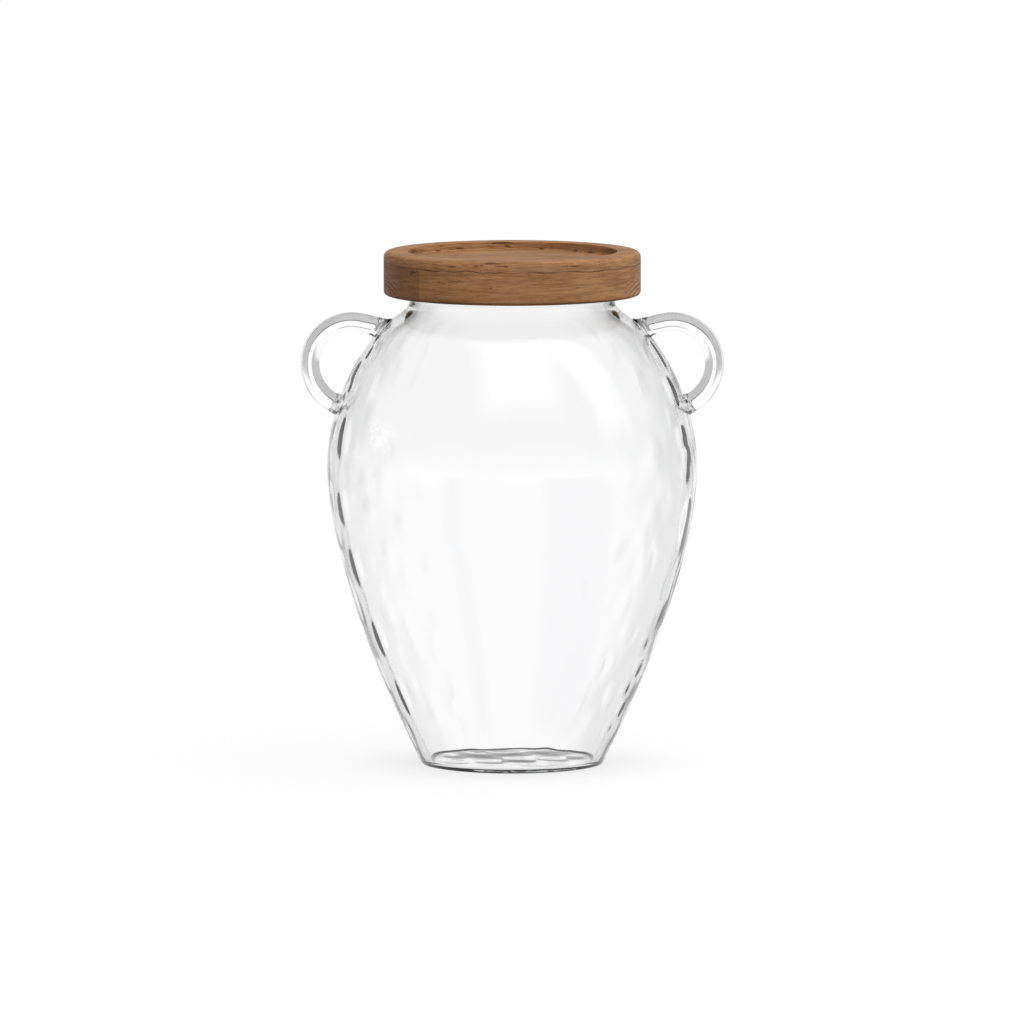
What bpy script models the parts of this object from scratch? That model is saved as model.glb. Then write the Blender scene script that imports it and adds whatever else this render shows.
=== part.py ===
"""Clear glass jar with two loop handles and a turned wooden lid.

Metres, +Z up. The origin is the middle of the base, on the table.
The handles lie along X and the front of the jar faces -Y.
"""
import math

import bmesh
import bpy
import numpy as np
from mathutils import Vector

MM = 0.001

# Fits shared by all pieces
FIT_GAP = 0.3 * MM
WELD = 0.001 * MM
TURN_STEPS = 56
ARC_STEPS = 3
SHARP_ANGLE = math.radians(40.0)

# Glass body: outside
BASE_RADIUS = 45.3 * MM
BASE_CORNER = 3.0 * MM
BELLY_RADIUS = 92.6 * MM
BELLY_HEIGHT = 148.0 * MM
SHOULDER_RISE = 92.0 * MM
NECK_RADIUS = 49.7 * MM
NECK_HEIGHT = 5.7 * MM
SIDE_CURVE = 1.6
SIDE_STEPS = 8

# Glass body: wall, floor and the hollow under the base
WALL_BASE = 5.0 * MM
WALL_BELLY = 5.2 * MM
WALL_NECK = 3.4 * MM
FLOOR_HEIGHT = 4.0 * MM
FLOOR_CORNER = 6.0 * MM
FOOT_RING_WIDTH = 7.0 * MM
PUSH_UP_DEPTH = 0.8 * MM
PUSH_UP_STEPS = 4

# Shoulder outline from the belly up to the neck: share of the rise, share of the drop in radius
SHOULDER_SHARES = (
    (0.00, 0.000),
    (0.20, 0.041),
    (0.40, 0.158),
    (0.60, 0.360),
    (0.70, 0.500),
    (0.77, 0.630),
    (0.83, 0.798),
    (0.88, 0.927),
    (0.93, 0.980),
    (1.00, 1.000),
)
SHOULDER_STEPS = 12

# Loop handles, each one glass rod
ROD_RADIUS = 4.75 * MM
HANDLE_PAST_BELLY = 8.4 * MM
HANDLE_BELOW_LID = 8.95 * MM
HANDLE_TOP_BEND = 20.8 * MM
HANDLE_LOW_BEND = 22.5 * MM
HANDLE_TOP_LEAN = math.radians(13.0)
HANDLE_LOW_SWEEP = math.radians(84.0)
FOOT_SPREAD = 1.3 * MM
FOOT_LENGTH = 5.0 * MM
HANDLE_STRIDE = 3.8 * MM
ROD_SIDES = 14

# Wooden lid
LID_OVERHANG = 14.5 * MM
LID_THICKNESS = 21.8 * MM
LID_PANEL = 7.3 * MM
LID_DISH_DEPTH = 4.0 * MM
LID_RIM_WIDTH = 12.0 * MM
LID_TOP_EDGE = 3.0 * MM
LID_DISH_EDGE = 1.5 * MM
LID_DISH_CORNER = 1.0 * MM
LID_LOW_EDGE = 2.0 * MM
LID_SOCKET_CLEARANCE = 1.0 * MM

# Plug glued under the lid, and the silicone seal in its groove
PLUG_CLEARANCE = 2.2 * MM
PLUG_LIP_BELOW_SEAL = 1.8 * MM
PLUG_LIP_ABOVE_SEAL = 1.6 * MM
PLUG_CHAMFER = 1.0 * MM
SEAL_HEIGHT = 4.0 * MM
SEAL_BAND = 1.7 * MM
SEAL_FIN = 1.0 * MM

# Sizes and heights that follow from the ones above
SHOULDER_TOP = BELLY_HEIGHT + SHOULDER_RISE
RIM_HEIGHT = SHOULDER_TOP + NECK_HEIGHT
LID_RADIUS = NECK_RADIUS + LID_OVERHANG
LID_SEAT = RIM_HEIGHT + FIT_GAP
LID_TOP = LID_SEAT + LID_PANEL + LID_DISH_DEPTH
LID_BOTTOM = LID_TOP - LID_THICKNESS
GROOVE_HEIGHT = SEAL_HEIGHT + 2 * FIT_GAP
PLUG_DEPTH = PLUG_LIP_BELOW_SEAL + GROOVE_HEIGHT + PLUG_LIP_ABOVE_SEAL
HANDLE_REACH = BELLY_RADIUS + HANDLE_PAST_BELLY
HANDLE_HEIGHT = LID_BOTTOM - HANDLE_BELOW_LID - ROD_RADIUS - HANDLE_TOP_BEND


def clear_scene():
    """Remove whatever the scene holds."""
    for thing in list(bpy.data.objects):
        bpy.data.objects.remove(thing, do_unlink=True)


def make_material(name, colour, roughness, transmission=0.0, ior=1.5):
    """A Principled material with one colour."""
    material = bpy.data.materials.new(name)
    material.use_nodes = True
    shader = material.node_tree.nodes["Principled BSDF"]
    shader.inputs["Base Color"].default_value = (*colour, 1.0)
    shader.inputs["Roughness"].default_value = roughness
    shader.inputs["Metallic"].default_value = 0.0
    shader.inputs["Transmission Weight"].default_value = transmission
    shader.inputs["IOR"].default_value = ior
    return material


def clear_glass(name):
    """Colourless glass."""
    return make_material(name, (0.93, 0.95, 0.96), 0.03, transmission=1.0, ior=1.47)


def warm_wood(name):
    """Oiled brown wood."""
    return make_material(name, (0.30, 0.155, 0.075), 0.55)


def white_silicone(name):
    """Milky silicone rubber."""
    return make_material(name, (0.82, 0.82, 0.80), 0.45)


def arc(centre, radius, start, end, steps=ARC_STEPS):
    """Points along a round stretch of an outline, both ends included."""
    turns = np.linspace(start, end, steps + 1)
    return [(centre[0] + radius * math.cos(a), centre[1] + radius * math.sin(a)) for a in turns]


def curve_through(points, wanted):
    """A smooth curve through points, level at both ends, read at the wanted places."""
    x, y = (np.array(column) for column in zip(*points))
    gap = np.diff(x)
    rise = np.diff(y) / gap
    count = len(x)
    system = np.eye(count)
    answer = np.zeros(count)
    for i in range(1, count - 1):
        system[i, i - 1:i + 2] = gap[i], 2 * (gap[i - 1] + gap[i]), gap[i - 1]
        answer[i] = 3 * (gap[i] * rise[i - 1] + gap[i - 1] * rise[i])
    slope = np.linalg.solve(system, answer)
    span = np.clip(np.searchsorted(x, wanted) - 1, 0, count - 2)
    t = (wanted - x[span]) / gap[span]
    start, end = y[span], y[span + 1]
    leave, arrive = slope[span] * gap[span], slope[span + 1] * gap[span]
    return (
        (2 * t ** 3 - 3 * t ** 2 + 1) * start
        + (t ** 3 - 2 * t ** 2 + t) * leave
        + (3 * t ** 2 - 2 * t ** 3) * end
        + (t ** 3 - t ** 2) * arrive
    )


def outer_radius(height):
    """Radius of the outside of the glass at a height above the base corner."""
    if height >= SHOULDER_TOP:
        return NECK_RADIUS
    if height <= BELLY_HEIGHT:
        climb = 1 - (1 - height / BELLY_HEIGHT) ** SIDE_CURVE
        return BASE_RADIUS + (BELLY_RADIUS - BASE_RADIUS) * climb
    climb = (height - BELLY_HEIGHT) / (SHOULDER_TOP - BELLY_HEIGHT)
    drop = float(curve_through(SHOULDER_SHARES, np.array([climb]))[0])
    return BELLY_RADIUS - (BELLY_RADIUS - NECK_RADIUS) * drop


def outer_slope(height):
    """How fast the outside widens with height."""
    step = BASE_CORNER / 10
    return (outer_radius(height + step) - outer_radius(height - step)) / (2 * step)


def wall_thickness(height):
    """Thickness of the glass, square to its surface."""
    heights = (FLOOR_HEIGHT, BELLY_HEIGHT, SHOULDER_TOP)
    return float(np.interp(height, heights, (WALL_BASE, WALL_BELLY, WALL_NECK)))


def inner_radius(height):
    """Radius of the inside of the glass."""
    if height >= SHOULDER_TOP:
        return NECK_RADIUS - WALL_NECK
    return outer_radius(height) - wall_thickness(height) * math.hypot(1, outer_slope(height))


def side_heights(first):
    """Heights at which the side and the shoulder are drawn, from a first height up to the neck."""
    low = np.linspace(first, BELLY_HEIGHT, SIDE_STEPS + 1)[:-1]
    closer_to_the_neck = np.sin(np.linspace(0, math.pi / 2, SHOULDER_STEPS + 1))
    high = BELLY_HEIGHT + (SHOULDER_TOP - BELLY_HEIGHT) * closer_to_the_neck
    return [float(height) for height in (*low, *high)]


def foot_ring_radius():
    """Outer radius of the flat ring that the jar stands on."""
    lean = math.atan(outer_slope(BASE_CORNER))
    start = BASE_CORNER * (1 - math.sin(lean))
    return outer_radius(start) - BASE_CORNER * math.cos(lean)


def glass_outside():
    """Outline of the outside, from the middle of the base to the foot of the rim."""
    ring = foot_ring_radius()
    inner_ring = ring - FOOT_RING_WIDTH
    points = []
    for share in np.linspace(0, 1, PUSH_UP_STEPS + 1):
        rise = (1 + math.cos(math.pi * share)) / 2
        points.append((inner_ring * float(share), PUSH_UP_DEPTH * rise))
    lean = math.atan(outer_slope(BASE_CORNER))
    points += arc((ring, BASE_CORNER), BASE_CORNER, -math.pi / 2, -lean)
    points += [(outer_radius(z), z) for z in side_heights(points[-1][1])[1:]]
    return points


def glass_rim():
    """Fire-polished rim, a half round across the wall of the neck."""
    half = WALL_NECK / 2
    return arc((NECK_RADIUS - half, RIM_HEIGHT - half), half, 0, math.pi, 2 * ARC_STEPS)


def glass_inside():
    """Outline of the inside, from the foot of the rim down to the middle of the floor."""
    lean = math.atan(outer_slope(FLOOR_HEIGHT))
    corner_top = FLOOR_HEIGHT + FLOOR_CORNER * (1 - math.sin(lean))
    middle = inner_radius(corner_top) - FLOOR_CORNER * math.cos(lean)
    corner = arc((middle, FLOOR_HEIGHT + FLOOR_CORNER), FLOOR_CORNER, -lean, -math.pi / 2)
    points = [(inner_radius(z), z) for z in reversed(side_heights(corner_top)[1:])]
    return points + corner + [(0.0, FLOOR_HEIGHT)]


def turned_mesh(name, outline):
    """Turn an outline of (radius, height) points about +Z into one closed body."""
    bm = bmesh.new()
    verts = [bm.verts.new((radius, 0.0, height)) for radius, height in outline]
    edges = [bm.edges.new(pair) for pair in zip(verts, verts[1:])]
    if outline[0][0] > 0:
        edges.append(bm.edges.new((verts[-1], verts[0])))
    bmesh.ops.spin(
        bm, geom=verts + edges, cent=(0, 0, 0), axis=(0, 0, 1),
        angle=2 * math.pi, steps=TURN_STEPS, use_merge=True,
    )
    bmesh.ops.remove_doubles(bm, verts=bm.verts, dist=WELD)
    return finished_mesh(name, bm)


def finished_mesh(name, bm):
    """Faces out, smooth on the round stretches."""
    bmesh.ops.recalc_face_normals(bm, faces=bm.faces)
    mesh = bpy.data.meshes.new(name)
    bm.to_mesh(mesh)
    bm.free()
    mesh.shade_smooth()
    mesh.set_sharp_from_angle(angle=SHARP_ANGLE)
    return mesh


def place(name, mesh, material=None, parent=None):
    """Put a mesh into the scene as a named object."""
    thing = bpy.data.objects.new(name, mesh)
    if material:
        thing.data.materials.clear()
        thing.data.materials.append(material)
    bpy.context.scene.collection.objects.link(thing)
    thing.parent = parent
    return thing


def place_empty(name, parent=None):
    """An empty that stands on a joint's axis."""
    thing = bpy.data.objects.new(name, None)
    bpy.context.scene.collection.objects.link(thing)
    thing.parent = parent
    return thing


def strides(length):
    """Number of even steps along a stretch of a handle."""
    return math.ceil(length / HANDLE_STRIDE)


def bend(middle, radius, start, end):
    """A round stretch of a handle's middle line."""
    return arc(middle, radius, start, end, strides(radius * abs(end - start)))


def run_into_glass(start, heading):
    """A straight stretch of a handle's middle line, from a bend until the rod ends well inside the glass."""
    deep = 2 * (ROD_RADIUS + FOOT_SPREAD)
    x_step, z_step = math.cos(heading), math.sin(heading)
    length = 0.0
    while outer_radius(start[1] + length * z_step) - (start[0] + length * x_step) < deep:
        length += FIT_GAP
    places = np.linspace(0, length, strides(length) + 1)[1:]
    return [(start[0] + float(along) * x_step, start[1] + float(along) * z_step) for along in places]


def handle_path():
    """Middle line of a handle in the XZ plane, from inside the shoulder to inside the belly."""
    top_middle = (HANDLE_REACH - HANDLE_TOP_BEND, HANDLE_HEIGHT)
    low_middle = (HANDLE_REACH - HANDLE_LOW_BEND, HANDLE_HEIGHT)
    top_bend = bend(top_middle, HANDLE_TOP_BEND, math.pi / 2 + HANDLE_TOP_LEAN, 0.0)
    low_bend = bend(low_middle, HANDLE_LOW_BEND, 0.0, -HANDLE_LOW_SWEEP)
    top_run = run_into_glass(top_bend[0], math.pi + HANDLE_TOP_LEAN)
    low_run = run_into_glass(low_bend[-1], -HANDLE_LOW_SWEEP - math.pi / 2)
    points = top_run[::-1] + top_bend + low_bend[1:] + low_run
    return [Vector((x, 0.0, z)) for x, z in points]


def rod_radius_at(point):
    """The rod's radius, which swells into a foot where it nears the glass body."""
    clear = math.hypot(point.x, point.y) - outer_radius(point.z)
    near = max(0.0, 1 - max(clear, 0.0) / FOOT_LENGTH)
    return ROD_RADIUS + FOOT_SPREAD * near ** 2


def handle_mesh(name):
    """A round rod swept along the handle's middle line."""
    path = handle_path()
    side = Vector((0, 1, 0))
    bm = bmesh.new()
    rings = []
    for i, point in enumerate(path):
        ahead = path[min(i + 1, len(path) - 1)] - path[max(i - 1, 0)]
        across = ahead.normalized().cross(side)
        radius = rod_radius_at(point)
        ring = []
        for k in range(ROD_SIDES):
            turn = 2 * math.pi * k / ROD_SIDES
            ring.append(bm.verts.new(point + radius * (across * math.cos(turn) + side * math.sin(turn))))
        rings.append(ring)
    for near_ring, far_ring in zip(rings, rings[1:]):
        for k in range(ROD_SIDES):
            n = (k + 1) % ROD_SIDES
            bm.faces.new((near_ring[k], near_ring[n], far_ring[n], far_ring[k]))
    bm.faces.new(rings[0])
    bm.faces.new(rings[-1])
    return finished_mesh(name, bm)


def seat_cutter():
    """The space that the glass body and its fit gap take from the handles' feet."""
    heights = np.array(side_heights(BASE_CORNER))
    outline = [(0.0, float(heights[0]))]
    outline += [(outer_radius(z) + FIT_GAP, float(z)) for z in heights]
    outline.append((0.0, float(heights[-1])))
    cutter = place("seat_cutter", turned_mesh("seat_cutter", outline))
    cutter.hide_render = True
    cutter.display_type = "WIRE"
    return cutter


def add_handles(jar, cutter, glass):
    """Two like handles, on opposite sides of the jar."""
    mesh = handle_mesh("handle_rod")
    for name, turn in (("left_handle", math.pi), ("right_handle", 0.0)):
        handle = place(name, mesh, glass, jar)
        handle.rotation_euler.z = turn
        cut = handle.modifiers.new("foot_cut", "BOOLEAN")
        cut.operation = "DIFFERENCE"
        cut.solver = "EXACT"
        cut.object = cutter


def lid_outline():
    """Outline of the turned lid, from the middle of its dish round to the middle of its socket."""
    dish = LID_RADIUS - LID_RIM_WIDTH
    dish_floor = LID_TOP - LID_DISH_DEPTH
    socket = outer_radius(LID_BOTTOM) + LID_SOCKET_CLEARANCE
    right, up, down, left = 0.0, math.pi / 2, -math.pi / 2, math.pi
    points = [(0.0, dish_floor)]
    points += arc((dish - LID_DISH_CORNER, dish_floor + LID_DISH_CORNER), LID_DISH_CORNER, down, right)
    points += arc((dish + LID_DISH_EDGE, LID_TOP - LID_DISH_EDGE), LID_DISH_EDGE, left, up)
    points += arc((LID_RADIUS - LID_TOP_EDGE, LID_TOP - LID_TOP_EDGE), LID_TOP_EDGE, up, right)
    points += arc((LID_RADIUS - LID_LOW_EDGE, LID_BOTTOM + LID_LOW_EDGE), LID_LOW_EDGE, right, down)
    points += [(socket, LID_BOTTOM), (socket, LID_SEAT), (0.0, LID_SEAT)]
    return points


def groove_heights():
    """Bottom and top of the seal's groove."""
    low = LID_SEAT - FIT_GAP - PLUG_DEPTH + PLUG_LIP_BELOW_SEAL
    return low, low + GROOVE_HEIGHT


def plug_outline():
    """Outline of the plug, a disc with a groove round its edge."""
    radius = inner_radius(SHOULDER_TOP) - PLUG_CLEARANCE
    groove = radius - SEAL_BAND - FIT_GAP
    top = LID_SEAT - FIT_GAP
    foot = top - PLUG_DEPTH
    low, high = groove_heights()
    return [
        (0.0, top), (radius, top), (radius, high), (groove, high), (groove, low),
        (radius, low), (radius, foot + PLUG_CHAMFER), (radius - PLUG_CHAMFER, foot), (0.0, foot),
    ]


def seal_outline():
    """Outline of the seal: a band in the groove with two fins that reach for the neck."""
    outer = inner_radius(SHOULDER_TOP) - FIT_GAP
    band = inner_radius(SHOULDER_TOP) - PLUG_CLEARANCE
    inner = band - SEAL_BAND
    low, high = (groove_heights()[0] + FIT_GAP, groove_heights()[1] - FIT_GAP)
    half = SEAL_FIN / 2
    points = [(inner, high), (inner, low)]
    for middle in (low + half, high - half):
        points += [(band, middle - half)]
        points += arc((outer - half, middle), half, -math.pi / 2, math.pi / 2)
        points += [(band, middle + half)]
    return points


def build():
    """Model the whole jar."""
    clear_scene()
    glass = clear_glass("clear_glass")
    jar = place_empty("jar_stand")
    body = turned_mesh("glass_body", glass_outside() + glass_rim()[1:-1] + glass_inside())
    place("glass_body", body, glass, jar)
    add_handles(jar, seat_cutter(), clear_glass("handle_glass"))
    lift = place_empty("lid_lift", jar)
    place("seal_ring", turned_mesh("seal_ring", seal_outline()), white_silicone("silicone"), lift)
    turn = place_empty("lid_turn", lift)
    place("wooden_lid", turned_mesh("wooden_lid", lid_outline()), warm_wood("lid_wood"), turn)
    place("lid_plug", turned_mesh("lid_plug", plug_outline()), warm_wood("plug_wood"), turn)


build()
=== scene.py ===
"""The looks of the lidded glass jar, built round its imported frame.

Metres, +Z up. The front of the jar faces -Y and its handles lie along X.
"""

import math
import random

import bpy
import numpy as np
from mathutils import Matrix, Vector


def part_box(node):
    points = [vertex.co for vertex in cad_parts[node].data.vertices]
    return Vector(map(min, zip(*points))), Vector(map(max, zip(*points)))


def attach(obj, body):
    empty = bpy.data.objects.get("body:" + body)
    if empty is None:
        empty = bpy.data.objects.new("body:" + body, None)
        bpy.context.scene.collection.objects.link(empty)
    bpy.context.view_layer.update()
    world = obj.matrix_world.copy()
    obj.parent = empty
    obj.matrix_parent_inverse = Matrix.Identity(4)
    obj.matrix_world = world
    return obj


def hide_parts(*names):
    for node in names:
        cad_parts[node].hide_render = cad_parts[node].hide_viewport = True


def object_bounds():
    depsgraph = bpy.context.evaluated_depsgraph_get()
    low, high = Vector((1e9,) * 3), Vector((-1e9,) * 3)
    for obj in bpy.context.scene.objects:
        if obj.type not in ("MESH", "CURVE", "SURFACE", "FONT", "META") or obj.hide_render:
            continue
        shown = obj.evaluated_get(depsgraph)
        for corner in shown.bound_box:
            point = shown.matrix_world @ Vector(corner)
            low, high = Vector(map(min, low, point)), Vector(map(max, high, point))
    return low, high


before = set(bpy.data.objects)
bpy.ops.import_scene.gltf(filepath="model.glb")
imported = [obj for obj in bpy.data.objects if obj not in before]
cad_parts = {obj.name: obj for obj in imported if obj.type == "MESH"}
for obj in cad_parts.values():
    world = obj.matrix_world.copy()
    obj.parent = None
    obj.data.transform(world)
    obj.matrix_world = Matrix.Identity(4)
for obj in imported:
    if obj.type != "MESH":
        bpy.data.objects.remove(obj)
cad_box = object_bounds()

MM = 0.001
WHITE = (1.0, 1.0, 1.0, 1.0)

# Sizes read from the frame
GLASS_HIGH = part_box("glass_body")[1]
LID_LOW, LID_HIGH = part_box("wooden_lid")
PLUG_LOW, PLUG_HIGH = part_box("lid_plug")
SEAL_LOW, SEAL_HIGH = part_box("seal_ring")
BELLY_RADIUS = GLASS_HIGH.y
RIM_HEIGHT = GLASS_HIGH.z
LID_RADIUS = LID_HIGH.y
LID_TOP = LID_HIGH.z
LID_BOTTOM = LID_LOW.z

# Glass body
BASE_RADIUS = 45.3 * MM
BASE_CORNER = 1.5 * MM
BELLY_HEIGHT = 148.0 * MM
SHOULDER_TOP = 240.0 * MM
NECK_RADIUS = 49.7 * MM
SIDE_CURVE = 1.6
WALL_BASE = 5.0 * MM
WALL_BELLY = 5.2 * MM
WALL_NECK = 3.4 * MM
FLOOR_HEIGHT = 2.5 * MM
FLOOR_CORNER = 3.0 * MM
FOOT_RING_WIDTH = 7.0 * MM
PUSH_UP_DEPTH = 0.8 * MM
SHOULDER_SHARES = (
    (0.00, 0.000),
    (0.20, 0.041),
    (0.40, 0.158),
    (0.60, 0.360),
    (0.70, 0.500),
    (0.77, 0.630),
    (0.83, 0.798),
    (0.88, 0.927),
    (0.93, 0.980),
    (1.00, 1.000),
)
GLASS_STEPS = 360
WALL_STRIDE = 2.4 * MM
ARC_STEPS = 6
FLOOR_RINGS = 16
FLOOR_CALM = 0.65
DENSE_STEPS = 4000

# Unevenness of the glass: slow ripples all over, staggered columns of dimples inside, and a few outside.
# RIPPLE_CELLS gives a share, waves round the jar, phase, waves up it, and how far and how often those sway.
# A row of RIPPLE_WAVES or FLOOR_WAVES gives a share, its two wave numbers and its phase.
# A row of EDGE_DIMPLES or SKIN_DIMPLES gives its angle in degrees, height and half length in mm, and depth.
RIPPLE_INSIDE = 0.10 * MM
RIPPLE_OUTSIDE = 0.08 * MM
RIPPLE_SHIFT = 1.7
RIPPLE_CELLS = (0.40, 10, 0.4, 193, 1.5, 3, 0.7)
RIPPLE_WAVES = ((0.30, 6, -71, 0.9), (0.20, 15, 127, 2.2), (0.10, 23, -310, 1.1))
FLOOR_WAVE_HEIGHT = 0.6 * MM
FLOOR_WAVES = ((0.45, 130, 60, 0.4), (0.35, -70, 250, 1.9), (0.20, 300, 330, 0.8))
DIMPLE_COLUMNS = 24
DIMPLE_ROWS = range(-1, 7)
DIMPLE_START = math.radians(200.0)
DIMPLE_PITCH = 32.5 * MM
DIMPLE_FOOT = 34.0 * MM
FREE_COLUMNS = (0, 9, 10, 23)
EDGE_DIMPLES = (
    (207, 38, 12, 1.2), (205, 68, 12, 1.3), (202, 103, 12, 1.3), (200, 132, 11, 1.3), (200, 166, 13, 1.3),
    (196, 206, 5, 0.7), (192, 197, 5, 0.8), (195, 189, 6, 0.6), (191, 182, 5, 0.6), (193, 214, 5, 0.6),
    (188, 13, 10, 1.0), (188, 47, 8, 0.9), (188, 84, 12, 1.2), (187, 117, 7, 0.7), (187, 150, 7, 0.7),
    (333, 22, 5, 0.6), (338, 31, 5, 0.8), (334, 42, 6, 0.6), (339, 52, 5, 0.8), (336, 64, 6, 0.5),
    (344, 80, 7, 0.5), (341, 149, 6, 1.2), (343, 157, 5, 1.3), (341, 166, 7, 1.3),
    (346, 124, 14, 3.4), (343, 188, 9, 1.0), (348, 205, 8, 0.8),
)
DIMPLE_DEPTH = 0.34 * MM
DIMPLE_SHARE = 0.6
DIMPLE_WIDE = math.radians(5.0)
DIMPLE_TALL = 9.0 * MM
DIMPLE_STRAY = 0.25
DIMPLE_LOWEST = 20.0 * MM
SKIN_DIMPLES = (
    (186, 13, 12, 1.0), (186, 46, 10, 1.0), (185, 84, 15, 1.0), (186, 120, 12, 0.6), (185, 158, 14, 0.8),
    (354, 14, 9, 0.7), (355, 45, 9, 0.7), (352, 92, 14, 2.2), (353, 126, 20, 1.0), (354, 165, 10, 0.6),
)
SKIN_DEPTH = 0.3 * MM
RIPPLE_FOOT = 6.0 * MM
RIPPLE_HEAD = 228.0 * MM
RIPPLE_FADE = 14.0 * MM

# Loop handles
ROD_RADIUS = 4.75 * MM
HANDLE_REACH = 101.0 * MM
HANDLE_HEIGHT = 201.0 * MM
HANDLE_TOP_BEND = 20.8 * MM
HANDLE_LOW_BEND = 22.5 * MM
HANDLE_TOP_LEAN = math.radians(13.0)
HANDLE_LOW_SWEEP = math.radians(84.0)
HANDLE_RUN = 20.0 * MM
FOOT_SPREAD = 0.7 * MM
FOOT_LENGTH = 3.0 * MM
FOOT_GAP = 0.03 * MM
ROD_SIDES = 48
ROD_STEPS = 120
BEND_STEPS = 240
RUN_STEPS = 120
ROD_SHARP = math.radians(50.0)

# Wooden lid
LID_DISH_DEPTH = 4.0 * MM
LID_RIM_WIDTH = 12.0 * MM
LID_TOP_EDGE = 3.0 * MM
LID_DISH_EDGE = 0.4 * MM
LID_DISH_CORNER = 1.0 * MM
LID_LOW_EDGE = 2.0 * MM
LID_SOCKET_CLEARANCE = 1.0 * MM
WOOD_STEPS = 256
WOOD_SHARP = math.radians(35.0)

# Wood, colours as linear light. A row of WOOD_FIBRES feeds wood_fibres. A row of WOOD_GROUND or WOOD_TINTS
# names one of those noises, where its tint starts and ends, and the tint's share at both. A row of the marks
# table gives the middle and the half sizes of a mark in mm, and how dark it is; MARK_NOISE makes its edge
# ragged. The marks are knots and short cracks, save the last row, which is painted shade on the right inner
# wall of the dish.
WOOD_BROWN = (0.225, 0.107, 0.045, 1.0)
WOOD_GOLD = (0.325, 0.158, 0.066, 1.0)
WOOD_RED = (0.228, 0.100, 0.038, 1.0)
WOOD_PALE = (0.400, 0.215, 0.098, 1.0)
WOOD_DARK = (0.115, 0.052, 0.022, 1.0)
WOOD_BLACK = (0.035, 0.014, 0.006, 1.0)
WOOD_FIBRES = {
    "patches": (24.0, 90.0, 3.0, 0.55),
    "bands": (12.0, 300.0, 3.0, 0.55),
    "streaks": (60.0, 900.0, 3.0, 0.60),
    "threads": (150.0, 1900.0, 2.0, 0.60),
    "pores": (220.0, 1500.0, 2.0, 0.55),
    "specks": (260.0, 1100.0, 2.0, 0.55),
}
WOOD_GROUND = (
    ("patches", 0.30, 0.70, 0.00, 1.00, WOOD_GOLD),
    ("bands", 0.52, 0.72, 0.00, 0.40, WOOD_RED),
)
WOOD_TINTS = (
    ("streaks", 0.50, 0.70, 0.00, 0.34, WOOD_DARK),
    ("streaks", 0.30, 0.48, 0.26, 0.00, WOOD_PALE),
    ("threads", 0.50, 0.70, 0.00, 0.44, WOOD_DARK),
    ("threads", 0.32, 0.48, 0.34, 0.00, WOOD_PALE),
    ("pores", 0.64, 0.72, 0.00, 0.60, WOOD_DARK),
    ("specks", 0.70, 0.76, 0.00, 0.80, WOOD_BLACK),
)
WOOD_ROUGH = (0.46, 0.62)
WOOD_BUMP = 0.3 * MM
THREAD_DEPTH = 0.4
PORE_DEPTH = 0.5
NOISE_SPAN = (0.3, 0.7)
TOP_FACING = 0.7
# Painted shade along the lid's bottom edge: how high it reaches, and how dark it is at the very bottom.
PAINTED_UNDER_REACH = 2.2 * MM
PAINTED_UNDER_SHADE = 0.5
MARK_NOISE = (400.0, 1500.0)
MARK_SWING = (0.5, 1.5)
MARK_EDGE = (0.6, 1.2)
MARKS_AND_SHADE = (
    ((-5.0, 52.0, 256.6), (6.6, 3.0, 0.51), 0.79),
    ((-12.0, 52.0, 255.0), (2.0, 3.0, 0.44), 0.61),
    ((-2.2, 52.0, 254.8), (1.4, 3.0, 0.51), 0.79),
    ((-36.8, 36.0, 254.0), (1.6, 3.0, 0.51), 0.79),
    ((-26.6, 44.5, 254.4), (4.1, 3.0, 0.44), 0.76),
    ((-35.5, 38.0, 256.4), (1.3, 2.0, 0.44), 0.50),
    ((-49.0, 16.0, 255.4), (2.4, 7.0, 0.87), 0.70),
    ((-47.5, -24.0, 256.9), (2.9, 3.0, 0.73), 0.45),
    ((-38.0, -51.0, 254.9), (2.2, 2.5, 0.31), 0.50),
    ((-29.8, -56.5, 254.5), (3.4, 2.5, 0.49), 0.58),
    ((-18.0, -61.0, 255.0), (1.0, 2.5, 0.85), 0.45),
    ((-15.0, -62.0, 255.5), (1.3, 2.5, 0.43), 0.50),
    ((-9.4, -62.0, 256.4), (4.4, 2.5, 0.43), 0.65),
    ((-5.6, -63.0, 255.2), (3.7, 2.5, 0.37), 0.62),
    ((30.4, -56.5, 254.6), (3.1, 2.5, 0.49), 0.58),
    ((39.2, 34.0, 253.6), (2.0, 2.5, 0.59), 0.79),
    ((15.0, 49.5, 253.9), (1.5, 2.5, 0.44), 0.70),
    ((31.6, 41.3, 253.8), (1.3, 2.5, 0.37), 0.70),
    ((-49.5, -40.5, 250.4), (3.0, 5.0, 0.45), 0.70),
    ((-50.2, -40.0, 249.4), (0.6, 5.0, 1.00), 0.50),
    ((-45.0, 22.0, 254.6), (5.0, 9.0, 1.44), 0.19),
    # Painted shade, not a mark in the wood: a broad soft darkening of the dish's right inner wall.
    ((50.0, 10.0, 254.8), (5.0, 22.0, 2.34), 0.30),
)

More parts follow.
